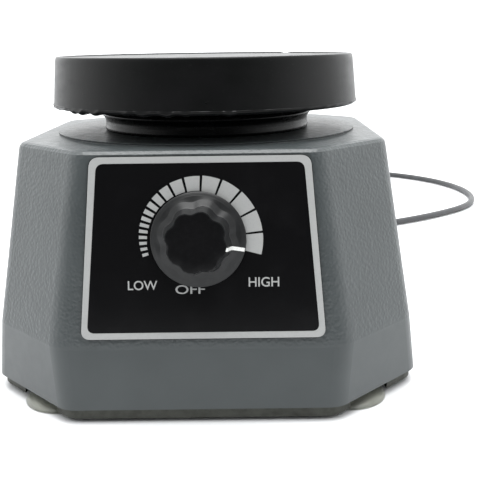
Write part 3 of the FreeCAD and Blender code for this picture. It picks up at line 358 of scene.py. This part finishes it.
def bobbin_plastic():
    return moulded("bobbin_plastic", tone(214, 208, 188), tone(196, 190, 170), 0.42)


def fan_plastic():
    return moulded("fan_plastic", tone(40, 41, 44), tone(54, 55, 58), 0.46)


def capacitor_resin():
    return moulded("capacitor_resin", tone(196, 152, 46), tone(176, 134, 36), 0.32)


def component_black():
    return moulded("component_black", tone(26, 26, 27), tone(38, 38, 39), 0.4)


def ferrite():
    return moulded("ferrite", tone(58, 60, 62), tone(46, 47, 49), 0.6, 0.3)


def terminal_green():
    return moulded("terminal_green", tone(44, 128, 74), tone(36, 108, 62), 0.38)


def wire_pvc():
    return moulded("wire_pvc", tone(150, 40, 36), tone(128, 32, 30), 0.4)


def fuse_glass():
    look = Look("fuse_glass", tone(232, 238, 236), 0.06, Transmission_Weight=0.85, IOR=1.5)
    look.paint(look.between(look.noise(2, 3), 0.55, 0.8), tone(210, 218, 214))
    return look.bump(look.noise(1.5, 2), 0.01, 0.4).material


# the record's material slots, and the look that each node of the frame gets through its slot
SLOT_LOOKS = (
    housing_paint, panel_black, knob_black, black_rubber, foot_rubber, zinc_steel, black_steel, machined_steel,
    bearing_steel, cast_aluminium, lamination, bobbin_plastic, copper_wire, bronze, fan_plastic, board_laminate,
    capacitor_resin, component_black, ferrite, fuse_glass, terminal_green, pot_metal, lead_grey, plug_black,
    pin_brass, wire_pvc,
)
EXTRA_LOOKS = (panel_print, cap_face, pointer_white, boot_rubber)


def materials():
    """Every look by name, with each CAD node's material slots set to the look of the same name."""
    looks = {}
    for build in SLOT_LOOKS + EXTRA_LOOKS:
        looks[build.__name__] = build()
    for item in frame["nodes"].values():
        for held in item.material_slots:
            held.material = looks[held.material.name.split(".")[0]]
    return looks


# ---- mesh helpers ----------------------------------------------------------------------------------------

def piece(name, bm, body, look, place=None, sharp=38):
    """An object from a bmesh that is drawn in millimetres, smooth except along edges sharper than an angle."""
    bmesh.ops.recalc_face_normals(bm, faces=bm.faces)
    for face in bm.faces:
        face.smooth = True
    for edge in bm.edges:
        edge.smooth = edge.calc_face_angle(0.0) < math.radians(sharp)
    bm.transform((place or Matrix()) @ Matrix.Scale(MM, 4))
    mesh = bpy.data.meshes.new(name)
    bm.to_mesh(mesh)
    bm.free()
    mesh.materials.append(LOOKS[look])
    item = bpy.data.objects.new(name, mesh)
    bpy.context.collection.objects.link(item)
    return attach(item, body)


def softened(points, radius, steps=4, closed=True):
    """A line of points whose corners are cut back by up to this radius and rounded."""
    spots = [Vector(point) for point in points]
    made = []
    for i, corner in enumerate(spots):
        if not closed and i in (0, len(spots) - 1):
            made.append(corner)
            continue
        back = spots[i - 1] - corner
        ahead = spots[(i + 1) % len(spots)] - corner
        reach = min(radius, 0.48 * back.length, 0.48 * ahead.length)
        first = corner + back.normalized() * reach
        last = corner + ahead.normalized() * reach
        for step in range(steps + 1):
            t = step / steps
            made.append((1 - t) ** 2 * first + 2 * t * (1 - t) * corner + t ** 2 * last)
    return made


def skin(bm, rings, closed=False):
    """Faces between each ring of vertices and the next; a ring of one vertex is a pole."""
    pairs = list(zip(rings, rings[1:]))
    if closed:
        pairs.append((rings[-1], rings[0]))
    for low, high in pairs:
        count = max(len(low), len(high))
        for i in range(count):
            j = (i + 1) % count
            corners = [low[i % len(low)], low[j % len(low)], high[j % len(high)], high[i % len(high)]]
            corners = [v for k, v in enumerate(corners) if v not in corners[:k]]
            if len(corners) > 2:
                bm.faces.new(corners)


def turned(profile, segments=160, closed=True, shape=None):
    """A bmesh turned about Z from (radius, height) points; shape(angle, radius, height) may move each one."""
    bm = bmesh.new()
    rings = []
    for radius, height in profile:
        if radius < 1e-6:
            rings.append([bm.verts.new((0, 0, height))])
            continue
        ring = []
        for i in range(segments):
            angle = 2 * math.pi * i / segments
            r, z = shape(angle, radius, height) if shape else (radius, height)
            ring.append(bm.verts.new((r * math.cos(angle), r * math.sin(angle), z)))
        rings.append(ring)
    skin(bm, rings, closed)
    return bm


def slab(bm, outline, low, high, hole=None):
    """A flat plate between two heights, with an outline and perhaps a hole of as many points."""
    def loop(points, height):
        return [bm.verts.new((x, y, height)) for x, y in points]
    outer_low, outer_high = loop(outline, low), loop(outline, high)
    skin(bm, [outer_low, outer_high])
    if hole:
        inner_low, inner_high = loop(hole, low), loop(hole, high)
        skin(bm, [outer_high, inner_high, inner_low, outer_low])
    else:
        bm.faces.new(outer_high)
        bm.faces.new(outer_low)


def ripple(seed, count, waves):
    """A smooth ragged function of an angle, from -1 to 1, the same in every run."""
    dice = random.Random(seed)
    parts = [(dice.randint(2, waves), dice.uniform(0, 2 * math.pi)) for _ in range(count)]
    return lambda angle: sum(math.sin(k * angle + start) for k, start in parts) / math.sqrt(count)


def on_axis(axis, height=0.0):
    """The frame whose origin is this many millimetres up an upright axis."""
    return Matrix.Translation(axis + Vector((0, 0, height * MM)))


def on_face():
    """The frame on the housing's front face at the dial's centre: X to the right, Y up the face, Z outward."""
    across = Vector((1, 0, 0))
    turn = Matrix((across, DIAL_NORMAL.cross(across), DIAL_NORMAL)).transposed().to_4x4()
    return Matrix.Translation(DIAL_CENTRE) @ turn


# ---- power lead ------------------------------------------------------------------------------------------

CORD_RADIUS = 1.8
# The lead's route in metres, from the strain relief, down to the table and round a loop to the coil.
ROUTE = (
    (0.012, 0.0788, 0.0125), (0.012, 0.0908, 0.0112), (0.014, 0.1048, 0.006), (0.021, 0.1188, 0.0022),
    (0.035, 0.1313, 0.0018), (0.056, 0.1433, 0.0018), (0.081, 0.1558, 0.0018), (0.104, 0.1688, 0.0018),
    (0.124, 0.1823, 0.0018), (0.145, 0.2003, 0.0018), (0.1585, 0.2188, 0.0018), (0.165, 0.2418, 0.0018),
    (0.1645, 0.2668, 0.0018), (0.1575, 0.2908, 0.0018), (0.145, 0.3118, 0.0018), (0.127, 0.3298, 0.0018),
    (0.108, 0.3403, 0.0018), (0.089, 0.3448, 0.0018), (0.070, 0.3443, 0.0018),
)
COIL_CENTRE = (0.052, 0.3188)
# The coil's course: how many turns each part takes, and the radius and layer at its end.
COIL = ((0.0, 23.6, 0), (2.0, 16.4, 0), (0.25, 16.4, 1), (2.0, 23.6, 1), (0.25, 23.6, 2), (2.0, 16.4, 2),
        (0.25, 16.4, 3), (1.5, 23.6, 3))
COIL_START = 90
POINTS_A_TURN = 16
# From the coil's last turn down into the plug, in metres.
COIL_EXIT = ((0.0284, 0.3118, 0.0123), (0.0284, 0.3028, 0.0108), (0.0284, 0.2948, 0.0088),
             (0.0284, 0.2878, 0.0073), (0.0284, 0.2818, 0.0069), (0.0284, 0.2768, 0.0069))


def coil_points():
    """Points of the coil's turns, which lie beside and on each other a diameter apart."""
    points = []
    angle = math.radians(COIL_START)
    for (_, radius, layer), (turns, next_radius, next_layer) in zip(COIL, COIL[1:]):
        steps = round(turns * POINTS_A_TURN)
        for step in range(steps):
            share = step / steps
            r = (radius + (next_radius - radius) * share) * MM
            z = (CORD_RADIUS + 2 * CORD_RADIUS * (layer + (next_layer - layer) * share)) * MM
            points.append((COIL_CENTRE[0] + r * math.cos(angle), COIL_CENTRE[1] + r * math.sin(angle), z))
            angle += 2 * math.pi * turns / steps
    return points


def power_lead():
    data = bpy.data.curves.new("power_lead", "CURVE")
    data.dimensions = "3D"
    data.bevel_depth = CORD_RADIUS * MM
    data.bevel_resolution = 5
    data.use_fill_caps = True
    spline = data.splines.new("NURBS")
    points = list(ROUTE) + coil_points() + list(COIL_EXIT)
    spline.points.add(len(points) - 1)
    for spot, point in zip(spline.points, points):
        spot.co = (*point, 1)
    spline.order_u = 3
    spline.use_endpoint_u = True
    spline.resolution_u = 8
    data.materials.append(LOOKS["lead_grey"])
    lead = bpy.data.objects.new("power_lead", data)
    bpy.context.collection.objects.link(lead)
    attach(lead, "housing")
    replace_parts(lead, "power_cord", "power_cord_coil", "power_cord_end")
    relief_sleeve()
    plug_body()


def relief_sleeve():
    """The tapered sleeve round the lead, grooved outside the wall so that it can bend."""
    profile = [(CORD_RADIUS, 0), (5.2, 0), (5.2, 7.1), (3.9, 7.1), (3.9, 11.9), (5.5, 11.9), (5.3, 13.6),
               (4.2, 15.4)]
    ribs, first, last = 6, 16.2, 31.4
    pitch = (last - first) / ribs
    for i in range(ribs):
        start = first + i * pitch
        radius = 4.1 - 1.4 * i / ribs
        profile += [(radius, start), (radius - 0.1, start + 0.6 * pitch), (radius - 0.55, start + 0.7 * pitch),
                    (radius - 0.6, start + 0.95 * pitch)]
    profile += [(2.5, last), (2.4, 32), (CORD_RADIUS, 32)]
    low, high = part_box("strain_relief")
    start = Vector(((low.x + high.x) / 2, low.y, (low.z + high.z) / 2))
    place = Matrix.Translation(start) @ Matrix.Rotation(-math.pi / 2, 4, "X")
    sleeve = turned(softened(profile, 0.25, 2), 48)
    item = piece("relief_sleeve", sleeve, "housing", "plug_black", place)
    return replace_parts(item, "strain_relief")


def plug_body():
    """The moulded plug: a rounded grip that narrows towards the lead, with finger ridges on both sides."""
    low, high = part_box("plug")
    half_thick = (high.z - low.z) / 2 / MM
    sections = [(0, 3.6, 3.4), (0.4, 4.6, 4.4), (1.5, 5.4, 5.0), (4, 6.3, 5.6)]
    for i in range(6):
        along = 5.5 + 1.7 * i
        wide = 6.9 + 0.95 * i
        sections += [(along, wide, 6.0 + 0.12 * i), (along + 0.5, wide - 0.45, 5.95 + 0.12 * i),
                     (along + 1.0, wide - 0.35, 6.0 + 0.12 * i)]
    sections += [(16.6, 12.8, 6.8), (18, 13, half_thick), (34.6, 13, half_thick), (35.6, 12.6, 6.6),
                 (36, 11.9, 6.1)]
    bm = bmesh.new()
    rings = []
    for along, wide, tall in sections:
        ring = []
        for i in range(48):
            angle = 2 * math.pi * i / 48
            c, s = math.cos(angle), math.sin(angle)
            x = wide * math.copysign(abs(c) ** 0.55, c)
            z = tall * math.copysign(abs(s) ** 0.55, s)
            ring.append(bm.verts.new((x, -along, z)))
        rings.append(ring)
    skin(bm, rings)
    bm.faces.new(rings[0])
    bm.faces.new(rings[-1])
    place = Matrix.Translation(((low.x + high.x) / 2, high.y, (low.z + high.z) / 2))
    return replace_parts(piece("plug_body", bm, "housing", "plug_black", place), "plug")


# ---- platform, boot and feet -----------------------------------------------------------------------------

TORN_AT = math.radians(215)


def platform_cap():
    """The rubber cap: slightly tapered and rounded, with a ragged moulding flash round its lower rim."""
    side = [(42, 85.3), (49.3, 85.3), (50, 86.1), (49.9, 86.6), (48.6, 100.0), (48.3, 101), (47.2, 101)]
    profile = softened(side, 0.5, 4, closed=False)
    profile += [Vector(p) for p in ((46.9, 100.7), (46.2, 100.6), (30, 100.55), (12, 100.6), (0, 100.6))]
    profile = [Vector((46.6, 97.8)), Vector((46.6, 87)), Vector((42, 87))] + profile
    ragged = ripple(4, 9, 90)
    swell = ripple(7, 4, 9)
    flash_low, flash_high = 85.9, 86.5
    nick_at, nick_width = math.radians(53), math.radians(1.6)

    def shape(angle, radius, height):
        radius += 0.05 * swell(angle) if radius > 44 else 0
        if flash_low <= height <= flash_high and radius > 49:
            radius += 0.16 + 0.16 * max(0, ragged(angle))
        if height < flash_high and radius > 48:
            left = max(0, math.cos(angle - TORN_AT))
            height -= 0.5 * left * max(0, ragged(angle + 1))
        if height > 99.8 and radius > 47:
            bite = math.exp(-((angle - nick_at) / nick_width) ** 2)
            radius -= 0.7 * bite
            height -= 0.8 * bite
        return radius, height

    cap = turned(profile, 360, False, shape)
    item = piece("platform_cap", cap, "platform", "black_rubber", on_axis(PLATFORM_AXIS))
    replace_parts(item, "platform_rubber")


def boot():
    """The rubber boot round the neck: a drum, a rolled bead round it, and a soft collar above."""
    profile = [(26.5, 71.6), (33, 71.6), (33, 73), (30.4, 73), (30.4, 77.2), (33.8, 77.2), (34.3, 77.9),
               (34.0, 79.0), (33.9, 80.6), (34.4, 81.6), (35.0, 82.1), (35.0, 82.7), (34.2, 83.3),
               (33.3, 83.8), (33.0, 84.8), (33.2, 86.2), (33.1, 87.6), (32.6, 88), (30, 88), (30, 78.8),
               (26.5, 78.8)]
    swell = ripple(11, 3, 7)

    def shape(angle, radius, height):
        if height > 80 and radius > 31:
            radius += 0.12 * swell(angle)
        return radius, height

    item = piece("boot_cover", turned(softened(profile, 0.7), 200, True, shape), "housing", "boot_rubber",
                 on_axis(MOTOR_AXIS))
    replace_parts(item, "rubber_boot")


def foot(node):
    """A foot like a small suction cup: a flared lip, a domed hollow, and a button through the base plate."""
    profile = [(0, 1.6), (3.5, 1.5), (7, 1.05), (9.6, 0.35), (10.9, 0.0), (11.5, 0.15), (11.3, 0.6),
               (10.2, 1.2), (8.0, 2.0), (6.2, 2.5), (5.4, 2.9), (2.9, 2.9), (2.9, 4.2), (4.1, 4.4),
               (3.9, 5.2), (3.0, 6.6), (1.6, 7.1), (0, 7.2)]
    low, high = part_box(node)
    centre = (low + high) / 2
    item = piece(f"{node}_cup", turned(profile, 64, False), "housing", "foot_rubber",
                 on_axis(Vector((centre.x, centre.y, 0))))
    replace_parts(item, node)


# ---- dial and panel --------------------------------------------------------------------------------------

# the panel's edges above and below the dial's axis, its half widths there, and its shift to the right
PANEL_TOP, PANEL_BOTTOM = 22.9, -28.1
PANEL_TOP_HALF, PANEL_BOTTOM_HALF = 30.4, 34.5
PANEL_SHIFT = 0.8
PANEL_FACE = 0.8
PRINT = 0.05
FLUTES, FLUTE_START = 8, 7.8
GRIP_TOP = 11.4
# the pointer's direction at rest, in degrees from the right
POINTER_AT = -13


def scallop(angle):
    """The grip's reach at its top: eight broad lobes between rounded flutes."""
    middle, swing, sharpening = 8.12, 0.42, 0.12
    wave = math.cos(FLUTES * (angle - math.radians(FLUTE_START)))
    return middle - swing * wave - sharpening * wave ** 2


def knob():
    """The scalloped grip on its dished skirt, in one moulding."""
    profile = [(3.1, 5.1), (7.6, 5.1), (7.6, 1.5), (13.2, 1.5), (13.25, 2.3), (12.2, 2.75), (11.2, 3.3),
               (10.2, 4.1), (9.9, 4.7), (9.6, 6.2), (8.9, 10.9), (8.6, GRIP_TOP), (6.0, GRIP_TOP),
               (6.0, 10.6), (3.1, 10.6)]
    draft, foot_rise = 0.15, 4.4

    def shape(angle, radius, height):
        if height > 3.0 and radius > 7.7:
            wall = scallop(angle) + draft * (GRIP_TOP - height) + 1.4 * max(0, foot_rise - height)
            radius = min(radius, wall)
        return radius, height

    grip = turned(softened(profile, 0.3, 3), 360, True, shape)
    item = piece("dial_knob", grip, "dial", "knob_black", on_face(), 50)
    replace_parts(item, "knob")


def knob_cap():
    """The dark end cap, which follows the grip's scallops and is very slightly dished."""
    rim = 8.0
    profile = [(0, 10.7), (5.95, 10.7), (5.95, 11.3), (rim, 11.3), (rim, 11.44), (rim - 0.3, 11.5),
               (5, 11.46), (0, 11.42)]

    def shape(angle, radius, height):
        if radius > 6:
            radius += scallop(angle) - rim - 0.3
        return radius, height

    item = piece("dial_cap", turned(profile, 240, False, shape), "dial", "cap_face", on_face())
    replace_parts(item, "knob_cap")


def pointer():
    """The white line that runs from the cap down the grip and across the skirt."""
    half_width, proud = 0.5, 0.08
    line = [(8.15, 11.5), (8.5, 11.2), (9.45, 5.0), (9.9, 4.3), (11.2, 3.35), (13.0, 2.45)]
    bm = bmesh.new()
    rings = []
    for radius, height in line:
        lift = Vector((1, 0, 1)).normalized() * proud
        spots = []
        for side, up in ((-1, -1), (1, -1), (1, 1), (-1, 1)):
            spots.append(bm.verts.new(Vector((radius, side * half_width, height)) + up * lift))
        rings.append(spots)
    skin(bm, rings)
    bm.faces.new(rings[0])
    bm.faces.new(rings[-1])
    bm.transform(Matrix.Rotation(math.radians(POINTER_AT), 4, "Z"))
    piece("dial_pointer", bm, "dial", "pointer_white", on_face())


def panel_outline(inset, radius):
    """The panel's rounded outline, drawn in by an inset."""
    low, high = PANEL_BOTTOM + inset, PANEL_TOP - inset
    top_half, bottom_half = PANEL_TOP_HALF - inset, PANEL_BOTTOM_HALF - inset
    corners = [(PANEL_SHIFT - bottom_half, low), (PANEL_SHIFT + bottom_half, low),
               (PANEL_SHIFT + top_half, high), (PANEL_SHIFT - top_half, high)]
    return softened(corners, radius, 8)


def panel_border():
    outer_inset, inner_inset = 0.15, 1.95
    bm = bmesh.new()
    slab(bm, panel_outline(outer_inset, 2.8), PANEL_FACE, PANEL_FACE + PRINT, panel_outline(inner_inset, 2.2))
    piece("panel_border", bm, "housing", "panel_print", on_face(), 20)


def panel_scale():
    """Eighteen bars round the dial, from seven small ticks at LOW to wide, long bars at HIGH."""
    count, first, last, middle = 18, 198.5, -15.5, 15.35
    pitches = [5.6 + 14.9 / (1 + math.exp((10.8 - i) / 1.6)) for i in range(count)]
    unit = (first - last) / sum(pitches)
    bm = bmesh.new()
    start = first
    for pitch in pitches:
        end = start - unit * pitch
        share = (first - (start + end) / 2) / (first - last)
        half = (1.6 + 3.35 * math.sin(math.pi / 2 * share ** 0.9)) / 2
        gap = 3.0 - 1.0 * share
        steps = 2 + int(pitch / 4)
        angles = [math.radians(start - gap / 2 + (end - start + gap) * k / steps) for k in range(steps + 1)]
        outline = [(middle + half) * Vector((math.cos(a), math.sin(a))) for a in angles]
        outline += [(middle - half) * Vector((math.cos(a), math.sin(a))) for a in reversed(angles)]
        slab(bm, outline, PANEL_FACE, PANEL_FACE + PRINT)
        start = end
    piece("panel_scale", bm, "housing", "panel_print", on_face(), 20)


def legend(word, x, y, width, height):
    """A word in plain capitals, centred on a point of the panel and fitted to a width and height."""
    data = bpy.data.curves.new(word, "FONT")
    data.body = word
    data.extrude = 0.02
    data.offset = 0.008
    text = bpy.data.objects.new(word, data)
    bpy.context.collection.objects.link(text)
    bpy.context.view_layer.update()
    mesh = bpy.data.meshes.new_from_object(text.evaluated_get(bpy.context.evaluated_depsgraph_get()))
    bpy.data.objects.remove(text)
    bm = bmesh.new()
    bm.from_mesh(mesh)
    for axis, middle, size in ((0, x, width), (1, y, height), (2, PANEL_FACE + PRINT / 2, PRINT)):
        low = min(v.co[axis] for v in bm.verts)
        high = max(v.co[axis] for v in bm.verts)
        for v in bm.verts:
            v.co[axis] = middle + (v.co[axis] - (low + high) / 2) * size / (high - low)
    piece(f"legend_{word.lower()}", bm, "housing", "panel_print", on_face(), 20)


# ---- floor and light -------------------------------------------------------------------------------------

def floor():
    """A large white table top that falls into shade on the camera's side."""
    bm = bmesh.new()
    bmesh.ops.create_grid(bm, x_segments=2, y_segments=2, size=12)
    mesh = bpy.data.meshes.new("floor")
    bm.to_mesh(mesh)
    bm.free()
    look = Look("floor_white", tone(226, 227, 228), 0.35)
    look.paint(look.between(look.noise(60, 3), 0.4, 0.8), tone(222, 223, 225))
    back = look.node("ShaderNodeSeparateXYZ", {"Vector": look.place}).outputs["Y"]
    # painted shade: the table top runs to grey on the camera's side, from 0.25 to 0.7 metres out
    look.paint(look.between(back, -0.25, -0.7), tone(110, 111, 113))
    mesh.materials.append(look.material)
    item = bpy.data.objects.new("floor", mesh)
    bpy.context.collection.objects.link(item)
    item.location.z = -0.0002


def world():
    """A bright white room that is dimmer on the camera's side, so that the front stands in soft shade."""
    made = bpy.data.worlds.new("room")
    bpy.context.scene.world = made
    made.use_nodes = True
    tree = made.node_tree
    background = tree.nodes["Background"]
    background.inputs["Color"].default_value = (0.985, 0.995, 1.0, 1)
    direction = tree.nodes.new("ShaderNodeTexCoord").outputs["Generated"]
    split = tree.nodes.new("ShaderNodeSeparateXYZ")
    scale = tree.nodes.new("ShaderNodeMapRange")
    scale.interpolation_type = "SMOOTHSTEP"
    for key, value in (("From Min", -0.95), ("From Max", 0.0), ("To Min", 0.15), ("To Max", 2.1)):
        scale.inputs[key].default_value = value
    tree.links.new(direction, split.inputs[0])
    tree.links.new(split.outputs["Y"], scale.inputs["Value"])
    tree.links.new(scale.outputs["Result"], background.inputs["Strength"])


def lights():
    """The room, and one large softbox overhead, in metres and watts."""
    world()
    data = bpy.data.lights.new("top_light", "AREA")
    data.size = 0.75
    data.energy = 10.5
    item = bpy.data.objects.new("top_light", data)
    bpy.context.collection.objects.link(item)
    item.location = (0, -0.12, 0.85)
    bpy.context.scene.view_settings.view_transform = "Standard"


# ---- the scene -------------------------------------------------------------------------------------------

camera()
LOOKS = materials()
power_lead()
platform_cap()
boot()
for end in ("front", "back"):
    for side in ("left", "right"):
        foot(f"foot_{end}_{side}")
knob()
knob_cap()
pointer()
panel_border()
panel_scale()
legend("LOW", -15.8, -12.7, 8.2, 2.6)
legend("OFF", -2.6, -14.0, 8.2, 2.5)
legend("HIGH", 17.9, -12.1, 8.5, 2.7)
floor()
lights()
